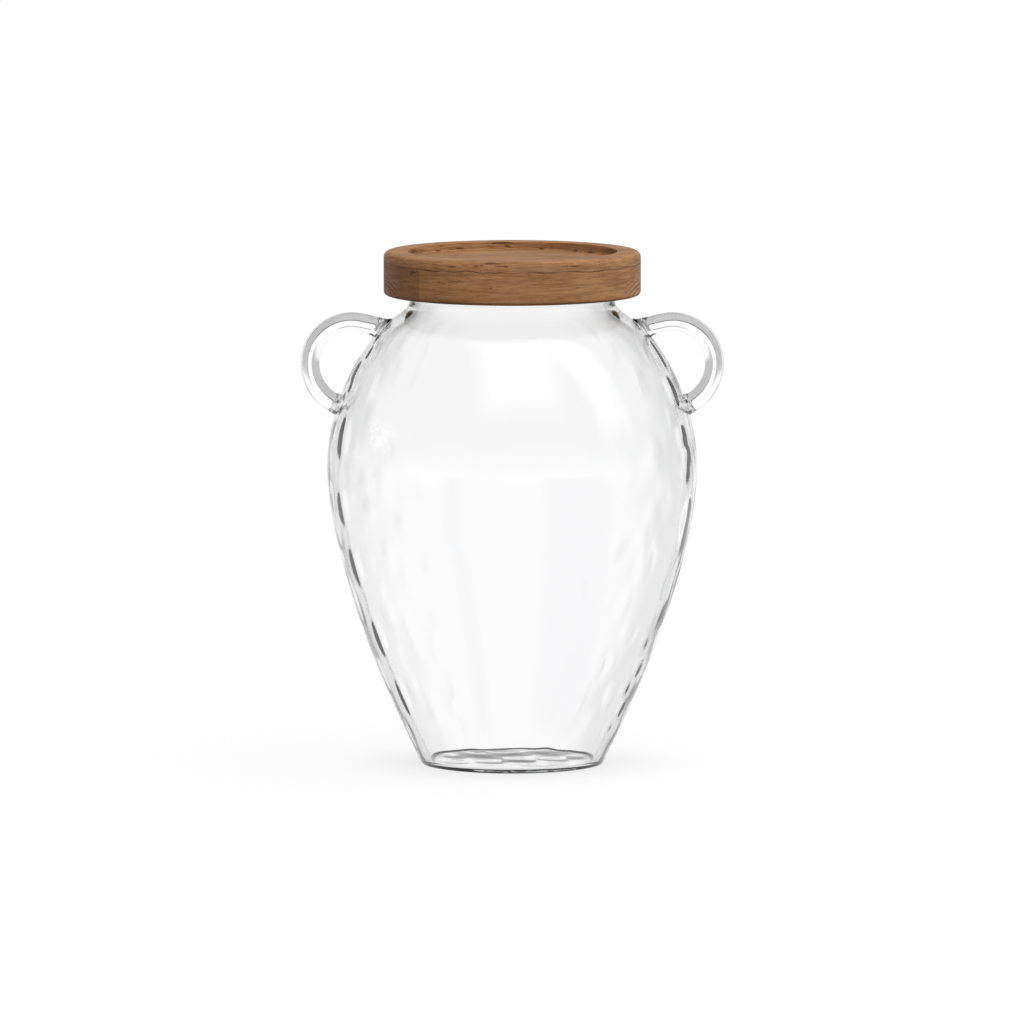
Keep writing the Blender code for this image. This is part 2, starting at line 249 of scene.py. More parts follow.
# Year rings, the dark line round the lid, the upright joint with its seam, and the end grain
RING_SHARE = 0.22
RING_PITCH = 4.2 * MM
RING_SWAY = 12.0 * MM
RING_RISE = (0.30, 0.90)
RING_FALL = (0.93, 1.0)
RING_NOISE = (20.0, 60.0, 2.0)
LINE_HEIGHT = 250.4 * MM
LINE_WAVE = 3.0 * MM
LINE_NOISE = {"Scale": 70.0, "Detail": 3.0}
LINE_HALF = 0.45 * MM
LINE_BREAKS = {"Scale": 110.0, "Detail": 2.0}
LINE_SPAN = (0.35, 0.58)
LINE_SHARE = (0.35, 0.90)
JOINT_PLACE = -46.6 * MM
JOINT_EDGE = 0.1 * MM
JOINT_RISE = (-0.4 * MM, 0.2 * MM)
JOINT_SHADE = 0.42
SEAM_HALF = 0.35 * MM
SEAM_SHADE = 0.45
END_START = 56.5 * MM
END_FADE = 2.5 * MM
END_TOP = 245.5 * MM
END_DROP = 4.0 * MM
END_PITCH = 1.9 * MM
END_AXIS = (68.0 * MM, 231.0 * MM)
END_ARCS = (0.3, 0.9)
END_DARK = 0.42
END_PALE = 0.32

# Plug and seal
PLUG_CHAMFER = 1.0 * MM
SEAL_BAND = 1.7 * MM
SEAL_FIN = 1.0 * MM
FIT_GAP = 0.3 * MM

# Camera
CAMERA_SIDE = -0.125 * MM
CAMERA_DISTANCE = 6.8
CAMERA_HEIGHT = 0.865
CAMERA_AIM = 0.1262
FRAME_WIDTH = 0.512
SENSOR = 36.0

# Studio floor
STUDIO_RADIUS = 12.0
STUDIO_RINGS = 24
STUDIO_SIDES = 96
STUDIO_DROP = 0.05 * MM
FLOOR_GLOW = 0.967
FLOOR_SHARE = 0.08
FLOOR_BOUNCE = 0.22
SHADE_REACH = 0.04
SHADE_DEPTH = 0.16

# Stretches of floor that only mirror images show. A row of FLOOR_CARDS gives the angle of its middle from the
# jar's front, at the near and at the far end of CARDS_REACH, its half width and its soft edge, in degrees.
# CARDS_REACH and CARDS_START are distances from the jar's axis. The rows fade in over the second.
FLOOR_CARDS = ((-21.0, -36.0, 5.0, 3.0), (37.0, 40.0, 20.0, 6.0))
CARDS_REACH = (0.08, 0.35)
CARDS_START = (0.055, 0.085)
FLOOR_BLUE = (0.10, 0.10, 0.35, 1.0)

# Light on matt things
DOME_DIM = (0.10, 0.10, 0.10, 1.0)
DOME_BRIGHT = (2.25, 2.25, 2.25, 1.0)
DOME_WAY = (0.85, -0.30, 0.90)
DOME_SPAN = (-0.6, 1.0)

# What mirror images show of the room. A row of SOFT_BOXES gives azimuth, elevation, half width and half
# height in degrees, softness of the edge, and light. SPARKLE is such a row without its light, and frosted.
MIRROR_ROOM = (0.12, 0.12, 0.20, 1.0)
MIRROR_BACK = (0.55, 0.55, 0.55, 1.0)
MIRROR_HORIZON = (0.0, 0.12)
MIRROR_TURN = (0.0, 0.5)
SOFT_BOXES = (
    (7, 64, 22, 26, 0.35, 2.0),
    (74, 48, 11, 30, 0.35, 2.0),
)
SPARKLE = (-93.0, 11.0, 11.0, 4.5, 0.5)
SPARKLE_LIGHT = (4.5, 4.5, 4.5, 1.0)
SPARKLE_GRAIN = {"Scale": 48.0, "Detail": 3.0, "Roughness": 0.7}
SPARKLE_SPAN = (0.50, 0.60)

# What sharply bent rays show: a white backdrop with a dark gap in it, a dark line at its foot, and a low tone
# under that. Levels and spans of height are sines of the angle above the horizon, here and below.
LINE_DARK = (0.03, 0.03, 0.03, 1.0)
FOOT_FRONT = math.sin(math.radians(-9.3))
FOOT_SIDE = math.sin(math.radians(-1.0))
FADE_FRONT = (-0.012, 0.0)
FADE_SIDE = (-0.07, 0.07)
GAP_LEVEL = 0.235
GAP_SPAN = (0.0135, 0.045)

# The same seen through the rods, and the count of crossed surfaces that only rays through the jar go beyond
ROD_GREY = (0.54, 0.54, 0.54, 1.0)
ROD_LINE = (-0.06, -0.03)
ROD_SIDES_SEEN = (math.cos(math.radians(10.0)), math.cos(math.radians(3.0)))
ROD_GAP = 0.7
ROD_CROSSINGS = 3.5

# The same seen along the wall, dimmed and with a dark zone overhead, and what it throws forwards instead
WALL_GREY = (0.78, 0.78, 0.79, 1.0)
WALL_LINE = (-0.24, -0.16)
WALL_SIDES_SEEN = (math.cos(math.radians(28.0)), math.cos(math.radians(12.0)))
WALL_DIM = 0.12
WALL_TONE = (0.30, 0.30, 0.30, 1.0)
DARK_LEVEL = 0.55
DARK_SPAN = (0.18, 0.24)
DARK_SHARE = 0.8
DARK_AHEAD = (0.3, 0.5)
FRONT_AHEAD = (-0.3, 0.1)
FRONT_RISE = (-0.15, 0.05)
FRONT_LOW = (0.50, 0.50, 0.59, 1.0)

# What shows straight through the jar: eight white sides, greyer between them
SIDE_TURN = math.pi / 8
SIDE_FADE = (math.radians(2.0), math.radians(9.0))
SIDE_GREY = 0.78
SIDE_LOW = (0.80, 0.88)
SIDE_RISE = (-0.128, -0.110)


def smooth_step(low, high, value):
    """0 below low, 1 above high, smooth between."""
    share = np.clip((value - low) / (high - low), 0.0, 1.0)
    return share * share * (3 - 2 * share)


def arc(centre, radius, start, end, steps=ARC_STEPS):
    """Points along a round stretch of an outline, both ends included."""
    turns = np.linspace(start, end, steps + 1)
    return [(centre[0] + radius * math.cos(a), centre[1] + radius * math.sin(a)) for a in turns]


def curve_through(points, wanted):
    """A smooth curve through points, level at both ends, read at the wanted places."""
    x, y = (np.array(column) for column in zip(*points))
    gap = np.diff(x)
    rise = np.diff(y) / gap
    count = len(x)
    system = np.eye(count)
    answer = np.zeros(count)
    for i in range(1, count - 1):
        system[i, i - 1:i + 2] = gap[i], 2 * (gap[i - 1] + gap[i]), gap[i - 1]
        answer[i] = 3 * (gap[i] * rise[i - 1] + gap[i - 1] * rise[i])
    slope = np.linalg.solve(system, answer)
    span = np.clip(np.searchsorted(x, wanted) - 1, 0, count - 2)
    t = (wanted - x[span]) / gap[span]
    start, end = y[span], y[span + 1]
    leave, arrive = slope[span] * gap[span], slope[span + 1] * gap[span]
    return (
        (2 * t ** 3 - 3 * t ** 2 + 1) * start
        + (t ** 3 - 2 * t ** 2 + t) * leave
        + (3 * t ** 2 - 2 * t ** 3) * end
        + (t ** 3 - t ** 2) * arrive
    )


def outer_radius(height):
    """Radius of the outside of the glass at heights above the base corner."""
    height = np.asarray(height, float)
    low = np.clip(height, 0, BELLY_HEIGHT)
    widening = 1 - (1 - low / BELLY_HEIGHT) ** SIDE_CURVE
    side = BASE_RADIUS + (BELLY_RADIUS - BASE_RADIUS) * widening
    rise = (height - BELLY_HEIGHT) / (SHOULDER_TOP - BELLY_HEIGHT)
    drop = curve_through(SHOULDER_SHARES, np.clip(rise, 0.0, 1.0))
    shoulder = BELLY_RADIUS - (BELLY_RADIUS - NECK_RADIUS) * drop
    return np.where(height <= BELLY_HEIGHT, side, shoulder)


def outer_slope(height):
    """How fast the outside widens with height."""
    step = WALL_STRIDE / 8
    return (outer_radius(height + step) - outer_radius(height - step)) / (2 * step)


def inner_radius(height):
    """Radius of the inside of the glass."""
    heights = (FLOOR_HEIGHT, BELLY_HEIGHT, SHOULDER_TOP)
    wall = np.interp(height, heights, (WALL_BASE, WALL_BELLY, WALL_NECK))
    return outer_radius(height) - wall * np.hypot(1, outer_slope(height))


def even_heights(radius_at, low, high):
    """Heights between low and high whose points lie one stride apart along the wall."""
    dense = np.linspace(low, high, DENSE_STEPS)
    run = np.hypot(np.diff(dense), np.diff(radius_at(dense)))
    length = np.concatenate(([0.0], np.cumsum(run)))
    count = int(round(length[-1] / WALL_STRIDE))
    return np.interp(np.linspace(0, length[-1], count + 1), length, dense)


def ripple_fade(height):
    """Where the ripples run, from the foot to the shoulder."""
    head = 1 - smooth_step(RIPPLE_HEAD - RIPPLE_FADE, RIPPLE_HEAD, height)
    return head * smooth_step(RIPPLE_FOOT, RIPPLE_FOOT + RIPPLE_FADE, height)


def waves(table, first, second):
    """Sum of the sine waves of a table, each with its share, two wave numbers and phase."""
    return sum(share * np.sin(first * a + second * b + phase) for share, a, b, phase in table)


def ripple(angle, height):
    """Slow unevenness left by blowing, from about -1 to 1."""
    share, around, phase, upwards, sway, often, delay = RIPPLE_CELLS
    lift = height * upwards + sway * np.sin(often * angle + delay)
    return share * np.cos(around * angle + phase) * np.cos(lift) + waves(RIPPLE_WAVES, angle, height)


def dimples(angle, height):
    """Upright dimples in staggered columns, 0 between them and 1 in their middle."""
    stray = random.Random(7)
    places = spots(EDGE_DIMPLES)
    for column in range(DIMPLE_COLUMNS):
        for row in DIMPLE_ROWS:
            turn, rise, size = (DIMPLE_STRAY * stray.uniform(-1, 1) for _ in range(3))
            middle = DIMPLE_START + 2 * math.pi * (column + turn) / DIMPLE_COLUMNS
            level = DIMPLE_FOOT + DIMPLE_PITCH * (row + 0.5 * (column % 2) + rise)
            if column not in FREE_COLUMNS and level > DIMPLE_LOWEST:
                places.append((middle, level, DIMPLE_TALL * (1 + size), DIMPLE_SHARE * (1 + size)))
    return hollows(places, angle, height)


def hollows(places, angle, height):
    """How deep the dimples at some places are: 0 between them, and each one's own depth in its middle."""
    depth = np.zeros_like(angle)
    for middle, level, tall, deep in places:
        across = (angle - middle + math.pi) % (2 * math.pi) - math.pi
        away = (across / DIMPLE_WIDE) ** 2 + ((height - level) / tall) ** 2
        depth = np.maximum(depth, deep * np.clip(1 - away, 0, None) ** 1.5)
    return depth


def spots(table):
    """A table of dimples in degrees and millimetres, as angles and metres."""
    return [(math.radians(turn), level * MM, tall * MM, deep) for turn, level, tall, deep in table]


def glass_outline():
    """Outline of the glass body as radius, height, and its shares of outside, inside and floor ripple."""
    rows = []
    lean = math.atan(float(outer_slope(BASE_CORNER)))
    start = BASE_CORNER * (1 - math.sin(lean))
    ring = float(outer_radius(start)) - BASE_CORNER * math.cos(lean)
    inner_ring = ring - FOOT_RING_WIDTH
    for share in np.linspace(0, 1, FLOOR_RINGS):
        rise = (1 + math.cos(math.pi * share)) / 2
        rows.append((inner_ring * share, PUSH_UP_DEPTH * rise, 0.0, 0.0, 0.0))
    rows += [(r, z, 0.0, 0.0, 0.0) for r, z in arc((ring, BASE_CORNER), BASE_CORNER, -math.pi / 2, -lean)]
    for z in even_heights(outer_radius, rows[-1][1], SHOULDER_TOP)[1:]:
        rows.append((float(outer_radius(z)), z, 1.0, 0.0, 0.0))
    half = WALL_NECK / 2
    rim = arc((NECK_RADIUS - half, RIM_HEIGHT - half), half, 0, math.pi, 2 * ARC_STEPS)
    rows += [(r, z, 0.0, 0.0, 0.0) for r, z in rim]
    lean = math.atan(float(outer_slope(FLOOR_HEIGHT)))
    corner_top = FLOOR_HEIGHT + FLOOR_CORNER * (1 - math.sin(lean))
    for z in even_heights(inner_radius, corner_top, SHOULDER_TOP)[::-1]:
        rows.append((float(inner_radius(z)), z, 0.0, 1.0, 0.0))
    middle = float(inner_radius(corner_top)) - FLOOR_CORNER * math.cos(lean)
    corner = arc((middle, FLOOR_HEIGHT + FLOOR_CORNER), FLOOR_CORNER, -lean, -math.pi / 2)
    rows += [(r, z, 0.0, 0.0, 0.0) for r, z in corner[1:]]
    for share in np.linspace(1, 0, FLOOR_RINGS)[1:]:
        rows.append((middle * share, FLOOR_HEIGHT, 0.0, 0.0, 1 - float(smooth_step(FLOOR_CALM, 1.0, share))))
    return np.array(rows)


def mesh_from_rings(name, x, y, z, closed):
    """A mesh from rings of points, a ring of no radius being one point. closed joins its two ends."""
    rings, steps = x.shape
    verts, index = [], []
    for i in range(rings):
        if np.hypot(x[i], y[i]).max() < 1e-9:
            verts.append((0.0, 0.0, float(z[i].mean())))
            index.append([len(verts) - 1] * steps)
        else:
            first = len(verts)
            verts += list(zip(x[i].tolist(), y[i].tolist(), z[i].tolist()))
            index.append(list(range(first, first + steps)))
    pairs = list(zip(index, index[1:]))
    if closed:
        pairs.append((index[-1], index[0]))
    faces = []
    for low, high in pairs:
        for k in range(steps):
            n = (k + 1) % steps
            corners = [low[k], low[n], high[n], high[k]]
            faces.append(list(dict.fromkeys(corners)))
    mesh = bpy.data.meshes.new(name)
    mesh.from_pydata(verts, [], faces)
    mesh.validate()
    mesh.shade_smooth()
    return mesh


def add_piece(name, mesh, material, body, slot, *nodes):
    """Put a mesh into the scene, on its body, in place of the frame's nodes."""
    thing = bpy.data.objects.new(name, mesh)
    thing.data.materials.append(material)
    bpy.context.scene.collection.objects.link(thing)
    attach(thing, body)
    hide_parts(*nodes)
    return thing


def make_glass_body(material):
    """The rippled jar."""
    outline = glass_outline()
    angle = 2 * math.pi * np.arange(GLASS_STEPS) / GLASS_STEPS
    angles = np.ones(len(outline))[:, None] * angle[None, :]
    radius = outline[:, 0:1] * np.ones_like(angles)
    height = outline[:, 1:2] * np.ones_like(angles)
    inside = RIPPLE_INSIDE * ripple(angles + RIPPLE_SHIFT, height) + DIMPLE_DEPTH * dimples(angles, height)
    outside = RIPPLE_OUTSIDE * (ripple(angles, height) - 1)
    outside = outside - SKIN_DEPTH * hollows(spots(SKIN_DIMPLES), angles, height)
    radius = radius + ripple_fade(height) * (outline[:, 2:3] * outside + outline[:, 3:4] * inside)
    x, y = radius * np.cos(angles), radius * np.sin(angles)
    z = height + outline[:, 4:5] * FLOOR_WAVE_HEIGHT * waves(FLOOR_WAVES, x, y)
    mesh = mesh_from_rings("jar_glass", x, y, z, closed=False)
    return add_piece("jar_glass", mesh, material, "jar", "glass", "glass_body")


def glass_surface(x, y, z):
    """How far a point lies outside the rippled glass, measured level."""
    angle = np.arctan2(y, x)
    wall = outer_radius(z) + RIPPLE_OUTSIDE * (ripple(angle, z) - 1) * ripple_fade(z)
    return np.hypot(x, y) - wall


def straight_run(start, heading):
    """Points on a straight stretch that leaves start, which isn't one of them."""
    reach = HANDLE_RUN * np.linspace(0, 1, RUN_STEPS)[1:]
    return [(start[0] + r * math.cos(heading), start[1] + r * math.sin(heading)) for r in reach]


def handle_line():
    """Middle line of the right handle as dense points, the directions square to it, and the length so far."""
    top = (HANDLE_REACH - HANDLE_TOP_BEND, HANDLE_HEIGHT)
    low = (HANDLE_REACH - HANDLE_LOW_BEND, HANDLE_HEIGHT)
    top_turn = math.pi / 2 + HANDLE_TOP_LEAN
    bend = arc(top, HANDLE_TOP_BEND, top_turn, 0.0, BEND_STEPS)
    bend += arc(low, HANDLE_LOW_BEND, 0.0, -HANDLE_LOW_SWEEP, BEND_STEPS)[1:]
    before = straight_run(bend[0], math.pi + HANDLE_TOP_LEAN)[::-1]
    after = straight_run(bend[-1], -HANDLE_LOW_SWEEP - math.pi / 2)
    line = np.array(before + bend + after)
    ahead = np.gradient(line, axis=0)
    ahead /= np.hypot(ahead[:, 0], ahead[:, 1])[:, None]
    length = np.concatenate(([0.0], np.cumsum(np.hypot(*np.diff(line, axis=0).T))))
    return line, np.stack((-ahead[:, 1], ahead[:, 0]), axis=1), length


def rod_point(line, across, radius, turn):
    """Points of the rod's skin along one of its long lines."""
    out = radius * math.cos(turn)
    x = line[:, 0] + out * across[:, 0]
    z = line[:, 1] + out * across[:, 1]
    return x, radius * math.sin(turn), z


def handle_rings():
    """Rings of points along a handle, each long line ending just clear of the glass."""
    line, across, length = handle_line()
    middle = len(line) // 2
    rings = np.zeros((ROD_STEPS + 1, ROD_SIDES, 3))
    shares = np.linspace(0, 1, ROD_STEPS + 1)
    for k in range(ROD_SIDES):
        turn = 2 * math.pi * k / ROD_SIDES
        wide = np.full(len(line), ROD_RADIUS + FOOT_SPREAD)
        x, y, z = rod_point(line, across, wide, turn)
        clear = glass_surface(x, y, z) - FOOT_GAP
        first = middle - int(np.argmax(clear[middle::-1] < 0))
        last = middle + int(np.argmax(clear[middle:] < 0))
        start = np.interp(0, [clear[first], clear[first + 1]], [length[first], length[first + 1]])
        end = np.interp(0, [clear[last], clear[last - 1]], [length[last], length[last - 1]])
        along = start + (end - start) * shares
        near = np.minimum(along - start, end - along)
        spread = FOOT_SPREAD * (1 - smooth_step(0, FOOT_LENGTH, near))
        path = np.stack([np.interp(along, length, column) for column in line.T], axis=1)
        sides = np.stack([np.interp(along, length, column) for column in across.T], axis=1)
        rings[:, k] = np.stack(rod_point(path, sides, ROD_RADIUS + spread, turn), axis=1)
    return rings


def make_handle(name, material, node, turn):
    """A glass rod bent into a loop; turn places it on its side of the jar."""
    rings = handle_rings()
    steps = rings.shape[1]
    verts = rings.reshape(-1, 3).tolist()
    faces = []
    for i in range(len(rings) - 1):
        for k in range(steps):
            n = (k + 1) % steps
            faces.append((i * steps + n, i * steps + k, (i + 1) * steps + k, (i + 1) * steps + n))
    faces.append(tuple(range(steps)))
    faces.append(tuple(reversed(range((len(rings) - 1) * steps, len(rings) * steps))))
    mesh = bpy.data.meshes.new(name)
    mesh.from_pydata(verts, [], faces)
    mesh.transform(Matrix.Rotation(turn, 4, "Z"))
    mesh.shade_smooth()
    mesh.set_sharp_from_angle(angle=ROD_SHARP)
    return add_piece(name, mesh, material, "jar", "glass", node)


def turned_piece(name, outline, material, body, slot, node):
    """A round piece turned from an outline of (radius, height) points."""
    outline = np.array(outline)
    angle = 2 * math.pi * np.arange(WOOD_STEPS) / WOOD_STEPS
    x = outline[:, 0:1] * np.cos(angle)[None, :]
    y = outline[:, 0:1] * np.sin(angle)[None, :]
    z = outline[:, 1:2] * np.ones_like(x)
    mesh = mesh_from_rings(name, x, y, z, closed=outline[0, 0] > 0)
    mesh.set_sharp_from_angle(angle=WOOD_SHARP)
    return add_piece(name, mesh, material, body, slot, node)


def lid_outline():
    """Outline of the lid, from the middle of its underside out, up and in to the middle of its dish."""
    dish = LID_RADIUS - LID_RIM_WIDTH
    dish_floor = LID_TOP - LID_DISH_DEPTH
    socket = float(outer_radius(LID_BOTTOM)) + LID_SOCKET_CLEARANCE
    seat = RIM_HEIGHT + FIT_GAP
    right, up, down, left = 0.0, math.pi / 2, -math.pi / 2, math.pi
    points = [(0.0, seat), (socket, seat), (socket, LID_BOTTOM)]
    points += arc((LID_RADIUS - LID_LOW_EDGE, LID_BOTTOM + LID_LOW_EDGE), LID_LOW_EDGE, down, right)
    points += arc((LID_RADIUS - LID_TOP_EDGE, LID_TOP - LID_TOP_EDGE), LID_TOP_EDGE, right, up)
    points += arc((dish + LID_DISH_EDGE, LID_TOP - LID_DISH_EDGE), LID_DISH_EDGE, up, left)
    points += arc((dish - LID_DISH_CORNER, dish_floor + LID_DISH_CORNER), LID_DISH_CORNER, right, down)
    points += [(0.0, dish_floor)]
    return points


def plug_outline():
    """Outline of the plug, from the middle of its foot round its groove to the middle of its top."""
    radius, top, foot = PLUG_HIGH.y, PLUG_HIGH.z, PLUG_LOW.z
    groove = radius - SEAL_BAND - FIT_GAP
    low, high = SEAL_LOW.z - FIT_GAP, SEAL_HIGH.z + FIT_GAP
    return [
        (0.0, foot), (radius - PLUG_CHAMFER, foot), (radius, foot + PLUG_CHAMFER), (radius, low),
        (groove, low), (groove, high), (radius, high), (radius, top), (0.0, top),
    ]


def seal_outline():
    """Outline of the seal, a band with two fins."""
    outer = SEAL_HIGH.y
    band = PLUG_HIGH.y
    inner = band - SEAL_BAND
    low, high = SEAL_LOW.z, SEAL_HIGH.z
    half = SEAL_FIN / 2
    points = [(inner, high), (inner, low)]
    for middle in (low + half, high - half):
        points += [(band, middle - half)]
        points += arc((outer - half, middle), half, -math.pi / 2, math.pi / 2)
        points += [(band, middle + half)]
    return points


class Graph:
    """A node tree built by short calls. Each input takes a plain value or another node's output."""

    def __init__(self, tree):
        self.tree = tree
        tree.nodes.clear()

    def feed(self, socket, value):
        """Link a node's output to a socket, or set the socket's own value."""
        if isinstance(value, bpy.types.NodeSocket):
            self.tree.links.new(value, socket)
        elif value is not None:
            socket.default_value = value

    def node(self, kind, inputs=None, **settings):
        """A new shader node with its settings and inputs."""
        made = self.tree.nodes.new("ShaderNode" + kind)
        for name, value in settings.items():
            setattr(made, name, value)
        for name, value in (inputs or {}).items():
            self.feed(made.inputs[name], value)
        return made

    def math(self, operation, *values):
        """The result of a math node on some values."""
        made = self.node("Math", operation=operation)
        for socket, value in zip(made.inputs, values):
            self.feed(socket, value)
        return made.outputs[0]

    def ramp(self, value, low, high, start=0.0, end=1.0):
        """A smooth step from start to end while the value goes from low to high."""
        made = self.node("MapRange", {"Value": value, "From Min": low, "From Max": high,
                                      "To Min": start, "To Max": end}, interpolation_type="SMOOTHSTEP")
        return made.outputs["Result"]

    def mix(self, share, first, second):
        """The first colour where the share is 0, the second where it is 1."""
        made = self.node("Mix", data_type="RGBA")
        self.feed(made.inputs[0], share)
        self.feed(made.inputs[6], first)
        self.feed(made.inputs[7], second)
        return made.outputs[2]


def hypot(graph, first, second):
    """Length of the long side of a right-angled triangle, from its two short ones."""
    squares = [graph.math("MULTIPLY", value, value) for value in (first, second)]
    return graph.math("SQRT", graph.math("ADD", *squares))


def new_material(name):
    """An empty material and its graph."""
    material = bpy.data.materials.new(name)
    material.use_nodes = True
    return material, Graph(material.node_tree)


def clear_glass():
    """Clear soda glass that greys a little over a long way."""
    material, graph = new_material("clear_glass")
    shader = graph.node("BsdfPrincipled", {
        "Base Color": WHITE,
        "Roughness": 0.0,
        "IOR": 1.47,
        "Transmission Weight": 1.0,
    })
    tint = graph.node("VolumeAbsorption", {"Color": (0.6, 0.64, 0.62, 1.0), "Density": 2.0})
    out = graph.node("OutputMaterial")
    graph.feed(out.inputs["Surface"], shader.outputs["BSDF"])
    graph.feed(out.inputs["Volume"], tint.outputs["Volume"])
    return material


def wood_fibres(graph, place, top, along, across, detail=3.0, rough=0.55):
    """Noise drawn out along the grain: round the side of the lid, and along X on its top.

    The first two numbers say how often it changes in a metre along the grain and across it.
    """
    stretch = graph.mix(top, (along, along, across, 1.0), (along, across, along, 1.0))
    scaled = graph.node("VectorMath", {0: place, 1: stretch}, operation="MULTIPLY").outputs["Vector"]
    noise = graph.node("TexNoise", {"Vector": scaled, "Scale": 1.0, "Detail": detail, "Roughness": rough})
    return noise.outputs["Fac"]


def marks_and_painted_shade(graph, place, top):
    """Knots and short cracks of the lid, and painted shade on the dish's right inner wall, as one mask."""
    total = None
    ragged = graph.ramp(wood_fibres(graph, place, top, *MARK_NOISE), *NOISE_SPAN, *MARK_SWING)
    for middle, size, dark in MARKS_AND_SHADE:
        shift = tuple(-value * MM for value in middle)
        away = graph.node("VectorMath", {0: place, 1: shift}, operation="ADD").outputs["Vector"]
        shares = tuple(1 / (value * MM) for value in size)
        away = graph.node("VectorMath", {0: away, 1: shares}, operation="MULTIPLY").outputs["Vector"]
        away = graph.node("VectorMath", {0: away}, operation="LENGTH").outputs["Value"]
        inside = graph.ramp(graph.math("MULTIPLY", away, ragged), *MARK_EDGE, dark, 0.0)
        total = inside if total is None else graph.math("MAXIMUM", total, inside)
    return total


def tinted(graph, colour, fibres, table):
    """A colour with the tints of a table laid over it, one after another."""
    for name, low, high, start, end, tint in table:
        colour = graph.mix(graph.ramp(fibres[name], low, high, start, end), colour, tint)
    return colour


def year_rings(graph, place, top):
    """Share of dark wood in the year rings, which follow Z on the side of the lid and Y on its top."""
    parts = graph.node("SeparateXYZ", {"Vector": place})
    sway = wood_fibres(graph, place, top, *RING_NOISE)
    layer = graph.node("Mix", data_type="FLOAT")
    for socket, value in zip(layer.inputs, (top, None, parts.outputs["Z"], parts.outputs["Y"])):
        graph.feed(socket, value)
    depth = graph.math("MULTIPLY_ADD", sway, RING_SWAY, layer.outputs[0])
    phase = graph.math("FRACT", graph.math("DIVIDE", depth, RING_PITCH))
    ring = graph.math("MULTIPLY", graph.ramp(phase, *RING_RISE), graph.ramp(phase, *RING_FALL, 1.0, 0.0))
    return graph.math("MULTIPLY", ring, RING_SHARE)


def layer_line(graph, place, over):
    """Share of black in the broken line between two layers of the wood, from the height over it."""
    line = graph.ramp(graph.math("ABSOLUTE", over), 0.0, LINE_HALF, 1.0, 0.0)
    breaks = graph.node("TexNoise", {"Vector": place, **LINE_BREAKS}).outputs["Fac"]
    return graph.math("MULTIPLY", line, graph.ramp(breaks, *LINE_SPAN, *LINE_SHARE))


def upright_joint(graph, colour, x, over):
    """A colour with darker wood left of an upright joint, under the line, and with the joint's seam."""
    left = graph.ramp(x, JOINT_PLACE - JOINT_EDGE, JOINT_PLACE + JOINT_EDGE, 1.0, 0.0)
    low = graph.ramp(over, *JOINT_RISE, 1.0, 0.0)
    shade = graph.math("MULTIPLY", graph.math("MULTIPLY", left, low), JOINT_SHADE)
    colour = graph.mix(shade, colour, WOOD_DARK)
    off = graph.math("ABSOLUTE", graph.math("SUBTRACT", x, JOINT_PLACE))
    seam = graph.ramp(off, 0.0, SEAM_HALF, SEAM_SHADE, 0.0)
    return graph.mix(graph.math("MULTIPLY", seam, low), colour, WOOD_BLACK)


def end_grain(graph, colour, x, z):
    """A colour with the arcs of the end grain, low on both ends of the lid."""
    side = graph.math("ABSOLUTE", x)
    ends = graph.ramp(side, END_START, END_START + END_FADE)
    ends = graph.math("MULTIPLY", ends, graph.ramp(z, END_TOP - END_DROP, END_TOP, 1.0, 0.0))
    out = graph.math("SUBTRACT", side, END_AXIS[0])
    up = graph.math("SUBTRACT", z, END_AXIS[1])
    arcs = graph.math("SINE", graph.math("MULTIPLY", hypot(graph, out, up), 2 * math.pi / END_PITCH))
    low, high = END_ARCS
    late = graph.math("MULTIPLY", ends, graph.ramp(arcs, low, high, 0.0, END_DARK))
    early = graph.math("MULTIPLY", ends, graph.ramp(arcs, -high, -low, END_PALE, 0.0))
    return graph.mix(early, graph.mix(late, colour, WOOD_BLACK), WOOD_PALE)


